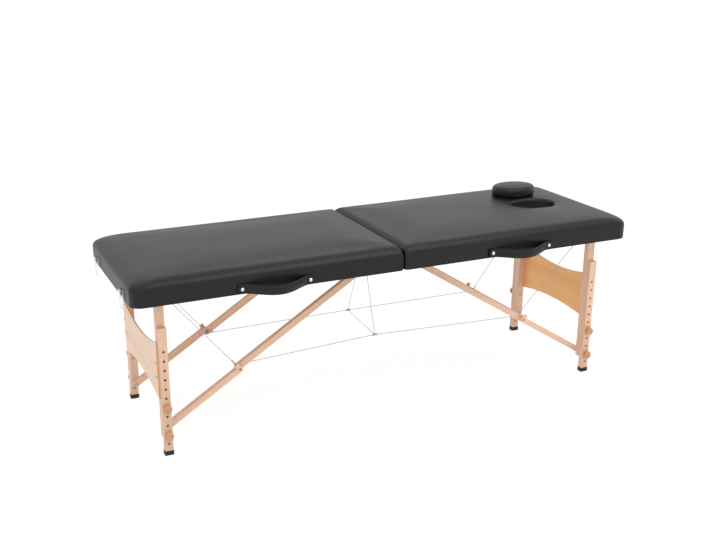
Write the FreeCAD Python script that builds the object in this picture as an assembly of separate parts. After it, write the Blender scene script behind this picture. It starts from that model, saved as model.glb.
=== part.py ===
import FreeCAD, Part
import math
import os

# Folding massage table, in millimetres. X runs from the foot end to the head end, Y from front to rear,
# Z up from the floor. Pieces are drawn about the table's middle, for the foot half and the front side
# (both negative), and mirrored to the other places. Last, all are moved so that the origin is on the floor
# under the middle of the whole outline, with the handles in front and the bumpers behind.

Vec = FreeCAD.Vector
AXIS_X = Vec(1, 0, 0)
AXIS_Y = Vec(0, 1, 0)
ORIGIN = Vec(0, 0, 0)

# Whole table, in the height setting shown
table_length = 1876.0
table_width = 600.0
apron_height = 546.0
fold_gap = 2.0
hinge_drop = 3.0

# Clearances
soft_gap = 0.3
layer_gap = 0.3
running_gap = 0.05
cable_gap = 0.3

# Lengths under this count as equal
tolerance = 0.001

# Frame, deck and cushion of each half
rail_depth = 49.0
rail_thickness = 20.0
deck_thickness = 4.0
foam_thickness = 30.0
crown_height = 4.0
cover_thickness = 1.5
corner_radius = 38.0
fold_corner_radius = 10.0
round_height = 31.0
side_round = 42.0
end_round = 70.0
fold_round = 22.0
crown_inward = 2.6

# Face hole in the head half, and its loose plug lying beside it
face_hole_length = 182.0
face_hole_width = 138.0
face_hole_from_end = 220.0
plug_oversize = 1.0
plug_side = 30.0
plug_height = 43.0
plug_rim = 3.0
plug_crown_steps = ((1, 0.45), (4, 0.75), (12, 1.0))
plug_from_end = 214.0
plug_behind_middle = 146.0

# Leg frames
leg_from_end = 103.0
leg_pivot_above_apron = 25.0
upper_leg_width = 28.0
upper_leg_thickness = 22.0
upper_leg_end = 58.0
leg_top_radius = 14.0
panel_thickness = 5.0
panel_top = 398.0
panel_bottom = 200.0
panel_top_dip = 34.0
panel_bottom_rise = 24.0
panel_screw_diameter = 8.0
panel_screw_head = 1.5
panel_screw_length = 18.0
panel_screw_pitch = 50.0

# Leg extensions with their row of holes, feet and clamping knobs
extension_outer_face = 248.0
extension_thickness = 20.0
extension_width = 28.0
extension_top = 450.0
hole_count = 11
hole_pitch = 32.7
lowest_hole = 42.0
hole_diameter = 9.0
upper_knob_hole = 4
lower_knob_hole = 1
foot_height = 16.0
foot_floor = 5.0
foot_wall = 1.0
knob_neck_diameter = 17.0
knob_neck_length = 5.0
knob_diameter = 29.0
knob_length = 13.0
knob_edge = 4.0

# Bolts
bolt_diameter = 8.0
bolt_head_diameter = 15.0
bolt_head_depth = 4.0
bolt_tail = 8.0

# Folding braces, and the blocks that carry the leg and brace pivots
brace_width = 21.0
brace_thickness = 18.0
brace_pivot_from_middle = 55.0
brace_pivot_drop = 10.0
brace_block_length = 58.0
brace_block_thickness = 18.0
leg_block_length = 56.0
block_lift = 4.0
knuckle_plate_thickness = 3.0
knuckle_plate_length = 16.0
knuckle_plate_above = 22.0
knuckle_plate_below = 8.0

# Steel cables
cable_diameter = 2.4
cable_from_brace = 6.0
cable_from_leg = 10.0
cable_clamp_diameter = 8.0
cable_clamp_length = 18.0
cable_top_y = 25.0
cable_top_spread = 4.0
front_clamp_y = -82.0
front_clamp_z = 231.0
rear_clamp_y = 150.0
rear_clamp_z = 249.0

# Centre hinges
hinge_place = 170.0
hinge_length = 90.0
hinge_leaf_width = 28.0
hinge_leaf_thickness = 2.0
hinge_barrel_diameter = 6.4
hinge_pin_diameter = 3.2
hinge_segments = 5
hinge_segment_gap = 0.4

# Draw latches on the foot end and their keepers on the head end
latch_place = 185.0
latch_base_width = 34.0
latch_base_height = 28.0
latch_plate_thickness = 2.0
latch_lift = 3.0
latch_ear_thickness = 2.0
latch_ear_reach = 9.0
latch_ear_height = 13.0
latch_pin_diameter = 3.0
lever_width = 24.0
lever_thickness = 5.0
lever_length = 22.0
lever_pin_drop = 6.0
bail_wire = 2.6
bail_width = 30.0
bail_length = 46.0
bail_pin_depth = 4.0
bail_above_lever_end = 5.0
keeper_hook_width = 14.0
keeper_hook_height = 7.0

# Carrying handles on the front apron
handle_from_end = 473.0
handle_screw_spacing = 234.0
handle_screw_above_apron = 17.0
handle_strap_width = 32.0
handle_strap_thickness = 7.0
handle_rise = 52.0
handle_tab_length = 30.0
handle_screw_head = 13.0
handle_screw_dome = 4.0
handle_screw_shank = 5.0
handle_screw_depth = 18.0

# Rubber bumpers on the rear apron, on which the closed case stands
bumper_diameter = 22.0
bumper_tip_diameter = 14.6
bumper_height = 12.0
bumper_above_apron = 22.0
bumper_from_middle = 90.0
bumper_from_end = 80.0

# Places worked out from the dimensions above
half_length = table_length / 2
half_width = table_width / 2
deck_bottom = apron_height + rail_depth
deck_top = deck_bottom + deck_thickness
cushion_edge = deck_top + foam_thickness + cover_thickness
cushion_top = cushion_edge + crown_height
hinge_height = apron_height - hinge_drop
leg_from_middle = half_length - leg_from_end
face_hole_from_middle = half_length - face_hole_from_end
plug_from_middle = half_length - plug_from_end
handle_from_middle = half_length - handle_from_end
rail_outer_x = half_length - cover_thickness
rail_inner_x = fold_gap + cover_thickness
rail_outer_y = half_width - cover_thickness
rail_inner_y = rail_outer_y - rail_thickness
leg_pivot = apron_height + leg_pivot_above_apron
upper_bolt = lowest_hole + upper_knob_hole * hole_pitch
lower_bolt = lowest_hole + lower_knob_hole * hole_pitch

# Layers across the width: extension, upper leg, lower brace, upper brace
extension_inner = extension_outer_face - extension_thickness
leg_outer = extension_inner - layer_gap
leg_inner = leg_outer - upper_leg_thickness
lower_brace_outer = leg_inner - layer_gap
lower_brace_inner = lower_brace_outer - brace_thickness
upper_brace_outer = lower_brace_inner - layer_gap
upper_brace_inner = upper_brace_outer - brace_thickness
cable_y = upper_brace_inner - bolt_head_depth - cable_from_brace
bolt_tail_end = cable_y - bolt_tail / 2

# Brace linkage in the X-Z plane: straight when open, folded flat into the frame when closed
leg_reach = leg_pivot - lower_bolt
leg_point = Vec(-leg_from_middle, 0, leg_pivot)
brace_foot_point = Vec(-leg_from_middle, 0, lower_bolt)
brace_foot_folded = leg_point + Vec(leg_reach, 0, 0)
brace_head_point = Vec(-brace_pivot_from_middle, 0, leg_pivot - brace_pivot_drop)
brace_total = (brace_head_point - brace_foot_point).Length
brace_folded = (brace_head_point - brace_foot_folded).Length
lower_brace_length = (brace_total - brace_folded) / 2
brace_direction = (brace_head_point - brace_foot_point).normalize()
knuckle_point = brace_foot_point + brace_direction * lower_brace_length


def box(x0, x1, y0, y1, z0, z1):
    return Part.makeBox(x1 - x0, y1 - y0, z1 - z0, Vec(x0, y0, z0))


def rod(diameter, start, end):
    along = end - start
    return Part.makeCylinder(diameter / 2, along.Length, start, along)


def rod_y(diameter, x, z, y0, y1):
    return rod(diameter, Vec(x, y0, z), Vec(x, y1, z))


def to_rear(shape):
    return shape.mirror(ORIGIN, AXIS_Y)


def to_head(shape):
    return shape.mirror(ORIGIN, AXIS_X)


def both_sides(shapes):
    return shapes + [to_rear(shape) for shape in shapes]


def chain(corners):
    """Closed wire through corners; a corner written as a pair is the middle and the end of an arc."""
    edges = []
    here = corners[0]
    for step in corners[1:] + [corners[0]]:
        if isinstance(step, tuple):
            edges.append(Part.Arc(here, step[0], step[1]).toShape())
            here = step[1]
        elif (step - here).Length > tolerance:
            edges.append(Part.LineSegment(here, step).toShape())
            here = step
    return Part.Wire(edges)


def prism(wire, direction):
    return Part.Face(wire).extrude(direction)


def outline(skin, inward, height):
    """Plan of the foot half at one height, drawn in from its edges as the cushion rounds over."""
    x0 = -half_length + skin + end_round * inward
    x1 = -fold_gap - skin - fold_round * inward
    y1 = half_width - skin - side_round * inward
    r = corner_radius
    d = r * (1 - math.sqrt(0.5))
    s = fold_corner_radius
    e = s * (1 - math.sqrt(0.5))
    z = height
    return chain([
        Vec(x0 + r, -y1, z), Vec(x1 - s, -y1, z), (Vec(x1 - e, -y1 + e, z), Vec(x1, -y1 + s, z)),
        Vec(x1, y1 - s, z), (Vec(x1 - e, y1 - e, z), Vec(x1 - s, y1, z)),
        Vec(x0 + r, y1, z), (Vec(x0 + d, y1 - d, z), Vec(x0, y1 - r, z)),
        Vec(x0, -y1 + r, z), (Vec(x0 + d, -y1 + d, z), Vec(x0 + r, -y1, z)),
    ])


def cushion_form(skin, bottom):
    """Upholstered form of the foot half: straight apron, rounded edge and crowned top, less a skin."""
    levels = [outline(skin, 0, bottom)]
    for angle in (0, 18, 36, 54, 72, 90):
        turn = math.radians(angle)
        rise = (round_height - skin) * math.sin(turn)
        levels.append(outline(skin, 1 - math.cos(turn), cushion_edge - round_height + rise))
    levels.append(outline(skin, crown_inward, cushion_top - skin))
    return Part.makeLoft(levels, True, True)


def face_hole(margin, bottom, top):
    """Oval prism of the face hole, on the head half, larger all round by a margin."""
    major = face_hole_length / 2 + margin
    minor = face_hole_width / 2 + margin
    oval = Part.Ellipse(Vec(face_hole_from_middle, 0, bottom), major, minor).toShape()
    return prism(Part.Wire([oval]), Vec(0, 0, top - bottom))


def frame_pieces():
    """Rails of the foot half, cut to the rounded plan inside the cover."""
    plan = prism(outline(cover_thickness, 0, apron_height), Vec(0, 0, rail_depth))
    end_inner = rail_outer_x - rail_thickness
    centre_inner = rail_inner_x + rail_thickness
    side = box(-rail_outer_x, -rail_inner_x, -rail_outer_y, -rail_inner_y, apron_height, deck_bottom)
    end = box(-rail_outer_x, -end_inner, -rail_inner_y, rail_inner_y, apron_height, deck_bottom)
    centre = box(-centre_inner, -rail_inner_x, -rail_inner_y, rail_inner_y, apron_height, deck_bottom)
    side = side.common(plan)
    return both_sides([side]), [end.common(plan), centre.common(plan)]


def deck_piece():
    return prism(outline(cover_thickness, 0, deck_bottom), Vec(0, 0, deck_thickness))


def foam_piece():
    form = cushion_form(cover_thickness + soft_gap, apron_height)
    above = box(-half_length, 0, -half_width, half_width, deck_top + soft_gap, cushion_top)
    return form.common(above)


def cover_piece():
    outer = cushion_form(0, apron_height)
    inner = cushion_form(cover_thickness, apron_height - cover_thickness)
    return outer.cut(inner)


def head_cover():
    """Cover of the head half, with the sleeve that lines the face hole."""
    opening = face_hole(0, deck_bottom, cushion_top + crown_height)
    sleeve = face_hole(cover_thickness, deck_bottom, cushion_top)
    whole = to_head(cover_piece()).fuse(sleeve.common(to_head(cushion_form(0, apron_height))))
    return whole.cut(opening).removeSplitter()


def with_face_hole(shape):
    margin = cover_thickness + soft_gap
    return shape.cut(face_hole(margin, apron_height, cushion_top + crown_height))


def pivot_blocks():
    """Wooden blocks inside the frame: outside each leg, and beside each brace's upper end."""
    bottom = apron_height + block_lift
    x_leg = -leg_from_middle
    leg_block = box(x_leg - leg_block_length / 2, x_leg + leg_block_length / 2,
                    -rail_inner_y, -leg_outer - layer_gap, bottom, deck_bottom)
    leg_hole = rod_y(bolt_diameter + 2 * running_gap, x_leg, leg_pivot, -rail_inner_y, -leg_outer)
    x_brace = -rail_inner_x - rail_thickness
    y_brace = upper_brace_outer + layer_gap
    brace_block = box(x_brace - brace_block_length, x_brace,
                      -y_brace - brace_block_thickness, -y_brace, bottom, deck_bottom)
    brace_hole = rod_y(bolt_diameter + 2 * running_gap, brace_head_point.x, brace_head_point.z,
                       -y_brace - brace_block_thickness, -y_brace)
    return both_sides([leg_block.cut(leg_hole), brace_block.cut(brace_hole)])


def bolt_hole(x, z, y0, y1):
    return rod_y(bolt_diameter + 2 * running_gap, x, z, y0, y1)


def head_recess(x, z, y_face, depth_sign):
    deep = bolt_head_depth + layer_gap
    return rod_y(bolt_head_diameter + 2 * layer_gap, x, z, y_face, y_face + depth_sign * deep)


def upper_leg():
    """Upper leg: rounded at the pivot, with the pivot hole and the two clamping holes."""
    x = -leg_from_middle
    w = upper_leg_width / 2
    y0 = -leg_outer
    post = box(x - w, x + w, y0, -leg_inner, upper_leg_end, leg_pivot)
    top = rod_y(2 * leg_top_radius, x, leg_pivot, y0, -leg_inner)
    leg = post.fuse(top).removeSplitter()
    for z in (leg_pivot, upper_bolt, lower_bolt):
        leg = leg.cut(bolt_hole(x, z, y0, -leg_inner))
    leg = leg.cut(head_recess(x, upper_bolt, -leg_inner, -1))
    for z in panel_screw_heights():
        leg = leg.cut(panel_screw(-leg_outer + upper_leg_thickness / 2, z))
    return leg


def panel_screw_heights():
    middle = (panel_bottom + panel_top) / 2
    return middle - panel_screw_pitch / 2, middle + panel_screw_pitch / 2


def panel_screw(y, z):
    """Wood screw through the panel into the leg, with a low round head outside."""
    face = -leg_from_middle - upper_leg_width / 2 - panel_thickness
    shank_end = face + panel_screw_length
    head = rod(panel_screw_diameter, Vec(face - panel_screw_head, y, z), Vec(face, y, z))
    shank = rod(panel_screw_diameter / 2, Vec(face, y, z), Vec(shank_end, y, z))
    return head.fuse(shank)


def leg_panel():
    """Plywood cross panel on the outer faces of one pair of legs, waisted above and below."""
    x = -leg_from_middle - upper_leg_width / 2
    y = leg_outer
    wire = chain([
        Vec(x, -y, panel_bottom),
        (Vec(x, 0, panel_bottom + panel_bottom_rise), Vec(x, y, panel_bottom)),
        Vec(x, y, panel_top),
        (Vec(x, 0, panel_top - panel_top_dip), Vec(x, -y, panel_top)),
    ])
    panel = prism(wire, Vec(-panel_thickness, 0, 0))
    for screw in panel_screws():
        panel = panel.cut(screw)
    return panel


def panel_screws():
    y = -leg_outer + upper_leg_thickness / 2
    return both_sides([panel_screw(y, z) for z in panel_screw_heights()])


def leg_fasteners():
    """Leg pivot bolts, clamping bolts inside the upper legs, and panel screws."""
    x = -leg_from_middle
    pivot = rod_y(bolt_diameter, x, leg_pivot, -rail_inner_y + layer_gap, -bolt_tail_end)
    shank = rod_y(bolt_diameter, x, upper_bolt, -leg_outer, -leg_inner - layer_gap)
    head = rod_y(bolt_head_diameter, x, upper_bolt, -leg_inner - bolt_head_depth, -leg_inner)
    lower_shank = rod_y(bolt_diameter, x, lower_bolt, -leg_outer, -lower_brace_inner - layer_gap)
    lower_head = rod_y(bolt_head_diameter, x, lower_bolt,
                       -lower_brace_inner - bolt_head_depth, -lower_brace_inner)
    return both_sides([pivot, shank.fuse(head), lower_shank.fuse(lower_head)]) + panel_screws()


def knob(height):
    """Turned wooden knob outside the extension, with a rounded rim and a short neck."""
    x = -leg_from_middle
    y_seat = -extension_outer_face - layer_gap
    neck = rod_y(knob_neck_diameter, x, height, y_seat - knob_neck_length, y_seat)
    y_head = y_seat - knob_neck_length
    head = rod_y(knob_diameter, x, height, y_head - knob_length, y_head)
    rims = [edge for edge in head.Edges if abs(edge.Length - math.pi * knob_diameter) < tolerance]
    head = head.makeFillet(knob_edge, rims)
    return neck.fuse(head).removeSplitter()


def extension():
    """Sliding lower leg with its row of holes."""
    x = -leg_from_middle
    w = extension_width / 2
    bar = box(x - w, x + w, -extension_outer_face, -extension_inner, foot_floor, extension_top)
    for i in range(hole_count):
        z = lowest_hole + i * hole_pitch
        bar = bar.cut(rod_y(hole_diameter, x, z, -extension_outer_face, -extension_inner))
    return bar


def rubber_foot():
    """Rubber cap on the end of an extension."""
    x = -leg_from_middle
    w = extension_width / 2
    outer = box(x - w - foot_wall, x + w + foot_wall, -extension_outer_face - foot_wall,
                -extension_inner + foot_wall, 0, foot_height)
    socket = box(x - w, x + w, -extension_outer_face, -extension_inner, foot_floor, foot_height)
    return outer.cut(socket)


def brace_bar(start, end, y_outer, y_inner):
    """Flat bar between two pivots, with rounded ends and a bolt hole at each pivot."""
    along = end - start
    side = Vec(-along.z, 0, along.x).normalize() * (brace_width / 2)
    back = along.normalize() * (brace_width / 2)
    y = Vec(0, -y_outer, 0)
    wire = chain([
        start + side + y, end + side + y, (end + back + y, end - side + y),
        start - side + y, (start - back + y, start + side + y),
    ])
    bar = prism(wire, Vec(0, y_outer - y_inner, 0))
    for point in (start, end):
        bar = bar.cut(bolt_hole(point.x, point.z, -y_outer, -y_inner))
    return bar


def knuckle_plate(margin):
    """Steel plate let into the outer face of the lower brace at the knuckle, standing up past its edge."""
    side = Vec(-brace_direction.z, 0, brace_direction.x)
    half = brace_direction * (knuckle_plate_length / 2 + margin)
    above = side * knuckle_plate_above
    below = side * -knuckle_plate_below
    at = knuckle_point + Vec(0, -lower_brace_outer, 0)
    wire = chain([at - half + below, at + half + below, at + half + above, at - half + above])
    return prism(wire, Vec(0, knuckle_plate_thickness + margin, 0))


def knuckle_plates():
    hole = bolt_hole(knuckle_point.x, knuckle_point.z, -lower_brace_outer, -lower_brace_inner)
    return both_sides([knuckle_plate(0).cut(hole)])


def lower_brace():
    bar = brace_bar(brace_foot_point, knuckle_point, lower_brace_outer, lower_brace_inner)
    bar = bar.cut(knuckle_plate(running_gap))
    return bar.cut(head_recess(brace_foot_point.x, brace_foot_point.z, -lower_brace_inner, -1))


def upper_brace():
    return brace_bar(knuckle_point, brace_head_point, upper_brace_outer, upper_brace_inner)


def brace_hardware():
    """Knuckle bolt whose tail holds the cables, and the bolt of the brace's upper pivot."""
    tail = rod_y(bolt_diameter, knuckle_point.x, knuckle_point.z, -upper_brace_outer, -bolt_tail_end)
    block_outer = upper_brace_outer + layer_gap + brace_block_thickness
    pivot = rod_y(bolt_diameter, brace_head_point.x, brace_head_point.z, -block_outer, -upper_brace_inner)
    bolts = []
    for bolt, point in ((tail, knuckle_point), (pivot, brace_head_point)):
        head = rod_y(bolt_head_diameter, point.x, point.z,
                     -upper_brace_inner, -upper_brace_inner + bolt_head_depth)
        bolts.append(bolt.fuse(head))
    return both_sides(bolts)


def cable(start, end, start_clear, end_clear):
    """Straight cable between two anchors, stopping just clear of each."""
    along = (end - start).normalize()
    return rod(cable_diameter, start + along * (start_clear + cable_gap),
               end - along * (end_clear + cable_gap))


def clamp_points():
    return (Vec(0, front_clamp_y, front_clamp_z), Vec(0, rear_clamp_y, rear_clamp_z))


def side_cables(sign):
    """Cables of the foot half on one side: leg pivot to knuckle, and knuckle to the middle clamp."""
    bolt = bolt_diameter / 2
    y = Vec(0, sign * cable_y, 0)
    top_y = Vec(0, sign * (leg_inner - cable_from_leg), 0)
    middle = clamp_points()[0 if sign < 0 else 1]
    clamp_end = middle - AXIS_X * (cable_clamp_length / 2)
    return [
        cable(leg_point + top_y, knuckle_point + y, bolt, bolt),
        cable(knuckle_point + y, clamp_end, bolt, 0),
    ]


def centre_cables():
    """Clamps at the middle, the cable across between them, and the two drops from the hinge rod."""
    front, rear = clamp_points()
    half = AXIS_X * (cable_clamp_length / 2)
    clamp_radius = cable_clamp_diameter / 2
    clamps = [rod(cable_clamp_diameter, point - half, point + half) for point in (front, rear)]
    drops = []
    for point, side in ((front, -1), (rear, 1)):
        top = Vec(0, cable_top_y + side * cable_top_spread, hinge_height)
        drops.append(cable(top, point, hinge_pin_diameter / 2, clamp_radius))
    return clamps + [cable(front, rear, clamp_radius, clamp_radius)] + drops


def hinge_leaf(odd):
    """Hinge leaf under the foot rail, carrying every other knuckle of the barrel."""
    step = hinge_length / hinge_segments
    y0 = -hinge_place - hinge_length / 2
    far = -rail_inner_x - hinge_leaf_width
    near = -hinge_barrel_diameter / 2 - hinge_segment_gap
    leaf = box(far, near, y0, y0 + hinge_length, apron_height - hinge_leaf_thickness, apron_height)
    for i in range(hinge_segments):
        if i % 2 != odd:
            continue
        start = y0 + i * step + hinge_segment_gap / 2
        end = y0 + (i + 1) * step - hinge_segment_gap / 2
        barrel = rod_y(hinge_barrel_diameter, 0, hinge_height, start, end)
        arm = box(near, 0, start, end, apron_height - hinge_leaf_thickness, apron_height - layer_gap)
        leaf = leaf.fuse(arm.common(box(near, 0, start, end, hinge_height, apron_height))).fuse(barrel)
    bore = rod_y(hinge_pin_diameter + 2 * running_gap, 0, hinge_height, y0, y0 + hinge_length)
    return leaf.cut(bore).removeSplitter()


def hinge_rod():
    """One rod through the barrels of both hinges; the middle cables hang on it."""
    reach = hinge_place + hinge_length / 2
    return rod_y(hinge_pin_diameter, 0, hinge_height, -reach, reach)


latch_face = -half_length - soft_gap
latch_plate = latch_face - latch_plate_thickness
latch_bottom = apron_height + latch_lift
latch_pin_z = latch_bottom + latch_base_height - lever_pin_drop
latch_pin_x = latch_plate - latch_ear_reach / 2
lever_bottom = latch_pin_z + lever_pin_drop - lever_length
bail_pin_z = lever_bottom + bail_above_lever_end


def latch_base():
    """Base plate of a draw latch with two ears and the lever's pin."""
    w = latch_base_width / 2
    y = -latch_place
    plate = box(latch_plate, latch_face, y - w, y + w, latch_bottom, latch_bottom + latch_base_height)
    ear_top = latch_bottom + latch_base_height
    ear_inner = lever_width / 2 + layer_gap
    base = plate
    for s in (-1, 1):
        y0, y1 = sorted((y + s * ear_inner, y + s * (ear_inner + latch_ear_thickness)))
        base = base.fuse(box(latch_plate - latch_ear_reach, latch_plate, y0, y1,
                             ear_top - latch_ear_height, ear_top))
    reach = ear_inner + latch_ear_thickness
    return base.fuse(rod_y(latch_pin_diameter, latch_pin_x, latch_pin_z, y - reach, y + reach))


def latch_lever():
    """Latch lever, hanging from its pin, with a cross hole for the bail."""
    y = -latch_place
    w = lever_width / 2
    t = lever_thickness / 2
    bar = box(latch_pin_x - t, latch_pin_x + t, y - w, y + w, lever_bottom, latch_pin_z)
    lever = bar.fuse(rod_y(lever_thickness, latch_pin_x, latch_pin_z, y - w, y + w)).removeSplitter()
    lever = lever.cut(rod_y(latch_pin_diameter + 2 * running_gap, latch_pin_x, latch_pin_z, y - w, y + w))
    return lever.cut(rod_y(bail_wire + 2 * running_gap, latch_pin_x, bail_pin_z, y - w, y + w))


def latch_bail():
    """Wire bail hanging from the lever."""
    y = -latch_place
    x = latch_pin_x
    side = bail_width / 2
    low = bail_pin_z - bail_length
    r = bail_wire
    pin_end = lever_width / 2 - bail_pin_depth
    path = []
    points = [Vec(x, y - pin_end, bail_pin_z), Vec(x, y - side, bail_pin_z), Vec(x, y - side, low),
              Vec(x, y + side, low), Vec(x, y + side, bail_pin_z), Vec(x, y + pin_end, bail_pin_z)]
    here = points[0]
    for before, corner, after in zip(points, points[1:], points[2:]):
        into = (corner - before).normalize()
        out = (after - corner).normalize()
        start = corner - into * r
        end = corner + out * r
        middle = corner + (out - into) * (r * (1 - math.sqrt(0.5)))
        path.append(Part.LineSegment(here, start).toShape())
        path.append(Part.Arc(start, middle, end).toShape())
        here = end
    path.append(Part.LineSegment(here, points[-1]).toShape())
    section = Part.Wire([Part.makeCircle(bail_wire / 2, points[0], AXIS_Y)])
    return Part.Wire(path).makePipeShell([section], True, False)


def latch_keeper():
    """Keeper on the head end: a plate with a hook that the bail pulls on."""
    w = latch_base_width / 2
    y = -latch_place
    plate = box(latch_plate, latch_face, y - w, y + w, latch_bottom, latch_bottom + latch_base_height)
    hook_z = latch_bottom + latch_base_height / 2
    hook = box(latch_plate - latch_ear_reach, latch_plate, y - keeper_hook_width / 2,
               y + keeper_hook_width / 2, hook_z, hook_z + keeper_hook_height)
    return to_head(plate.fuse(hook).removeSplitter())


def handle():
    """Padded strap handle of the foot half: two flat tabs joined by an arch that stands out."""
    y = -half_width - soft_gap
    z = apron_height + handle_screw_above_apron
    t = handle_strap_thickness
    near = handle_screw_spacing / 2 - handle_tab_length / 2
    far = handle_screw_spacing / 2 + handle_tab_length / 2
    crest = y - handle_rise
    x = -handle_from_middle
    wire = chain([
        Vec(x - far, y, z), Vec(x - near, y, z),
        (Vec(x, crest + t, z), Vec(x + near, y, z)),
        Vec(x + far, y, z), Vec(x + far, y - t, z), Vec(x + near, y - t, z),
        (Vec(x, crest, z), Vec(x - near, y - t, z)),
        Vec(x - far, y - t, z),
    ])
    strap = prism(wire, Vec(0, 0, handle_strap_width))
    strap.translate(Vec(0, 0, -handle_strap_width / 2))
    for s in (-1, 1):
        strap = strap.cut(handle_screw(x + s * handle_screw_spacing / 2))
    return strap


def handle_screw(x):
    """Domed screw through a handle tab."""
    z = apron_height + handle_screw_above_apron
    y_seat = -half_width - soft_gap - handle_strap_thickness
    r = handle_screw_head / 2
    d = handle_screw_dome
    ball = (r * r + d * d) / (2 * d)
    dome = Part.makeSphere(ball, Vec(x, y_seat - d + ball, z))
    dome = dome.common(box(x - r, x + r, y_seat - d, y_seat, z - r, z + r))
    shank = rod_y(handle_screw_shank, x, z, y_seat - d / 2, y_seat + handle_screw_depth)
    return dome.fuse(shank)


def handle_screws():
    return [handle_screw(-handle_from_middle + s * handle_screw_spacing / 2) for s in (-1, 1)]


def with_screw_holes(shape):
    """Holes for the handle screws in what lies behind the tabs."""
    z = apron_height + handle_screw_above_apron
    for s in (-1, 1):
        x = -handle_from_middle + s * handle_screw_spacing / 2
        shape = shape.cut(rod_y(handle_screw_shank, x, z, -half_width - soft_gap, -rail_inner_y))
    return shape


def bumpers():
    """Tapered rubber bumpers on the rear apron of the foot half."""
    z = apron_height + bumper_above_apron
    y = half_width + soft_gap
    places = (-bumper_from_middle, -half_length + bumper_from_end)
    wide = bumper_diameter / 2
    narrow = bumper_tip_diameter / 2
    return [Part.makeCone(wide, narrow, bumper_height, Vec(x, y, z), AXIS_Y) for x in places]


def face_plug():
    """Oval plug cushion lying on the head half: drawn-in foot, full sides and a crowned top."""
    major = face_hole_length / 2 + plug_oversize
    minor = face_hole_width / 2 + plug_oversize
    z0 = cushion_top + soft_gap
    rim = plug_rim
    dome = plug_height - plug_side
    levels = [(rim, 0), (0, rim), (0, plug_side)]
    levels += [(rim * rims, plug_side + dome * share) for rims, share in plug_crown_steps]
    wires = []
    for inset, rise in levels:
        a = major - inset
        b = minor - inset
        c = Vec(plug_from_middle, plug_behind_middle, z0 + rise)
        lean = math.sqrt(0.5)
        wires.append(chain([
            c + Vec(a, 0, 0), (c + Vec(a * lean, b * lean, 0), c + Vec(0, b, 0)),
            (c + Vec(-a * lean, b * lean, 0), c + Vec(-a, 0, 0)),
            (c + Vec(-a * lean, -b * lean, 0), c + Vec(0, -b, 0)),
            (c + Vec(a * lean, -b * lean, 0), c + Vec(a, 0, 0)),
        ]))
    return Part.makeLoft(wires, True, True)


def write(node, shapes):
    solids = shapes if isinstance(shapes, list) else [shapes]
    whole = solids[0].copy() if len(solids) == 1 else Part.makeCompound(solids)
    whole.translate(Vec(0, (handle_rise - bumper_height) / 2, 0))
    whole.exportStep("parts/" + node + ".step")


def write_pair(name, shapes):
    """A node of the foot half and its mirror in the head half."""
    solids = shapes if isinstance(shapes, list) else [shapes]
    write("foot_" + name, solids)
    write("head_" + name, [to_head(shape) for shape in solids])


def write_four(name, shape):
    """A node at each of the four corners."""
    write_pair("front_" + name, shape)
    write_pair("rear_" + name, to_rear(shape))


def main():
    os.makedirs("parts", exist_ok=True)

    side_rails, cross_rails = frame_pieces()
    write_pair("side_rails", [with_screw_holes(rail) for rail in side_rails])
    write_pair("cross_rails", cross_rails)
    write("foot_deck", deck_piece())
    write("head_deck", with_face_hole(to_head(deck_piece())))
    write("foot_foam", foam_piece())
    write("head_foam", with_face_hole(to_head(foam_piece())))
    write("foot_cover", with_screw_holes(cover_piece()))
    write("head_cover", to_head(with_screw_holes(to_head(head_cover()))))
    write_pair("pivot_blocks", pivot_blocks())
    write("face_plug", face_plug())

    write_four("leg", upper_leg())
    write_pair("leg_panel", leg_panel())
    write_pair("leg_fasteners", leg_fasteners())
    write_pair("knobs", both_sides([knob(upper_bolt), knob(lower_bolt)]))
    write_four("leg_extension", extension())
    write_four("rubber_foot", rubber_foot())

    write_pair("lower_braces", both_sides([lower_brace()]))
    write_pair("upper_braces", both_sides([upper_brace()]))
    write_pair("knuckle_plates", knuckle_plates())
    write_pair("brace_hardware", brace_hardware())
    cables = side_cables(-1) + side_cables(1)
    write("foot_cables", cables)
    write("head_cables", [to_head(shape) for shape in cables])
    write("centre_cables", centre_cables())

    write("foot_hinge_leaves", both_sides([hinge_leaf(0)]))
    write("head_hinge_leaves", [to_head(shape) for shape in both_sides([hinge_leaf(1)])])
    write("hinge_rod", hinge_rod())

    write("latch_bases", both_sides([latch_base()]))
    write("front_latch_lever", latch_lever())
    write("rear_latch_lever", to_rear(latch_lever()))
    write("front_latch_bail", latch_bail())
    write("rear_latch_bail", to_rear(latch_bail()))
    write("latch_keepers", both_sides([latch_keeper()]))

    write_pair("handle", handle())
    write_pair("handle_screws", handle_screws())
    write_pair("bumpers", bumpers())


main()
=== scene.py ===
import math

import bmesh
import bpy
import numpy as np
from mathutils import Matrix, Vector
from mathutils.bvhtree import BVHTree


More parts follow.
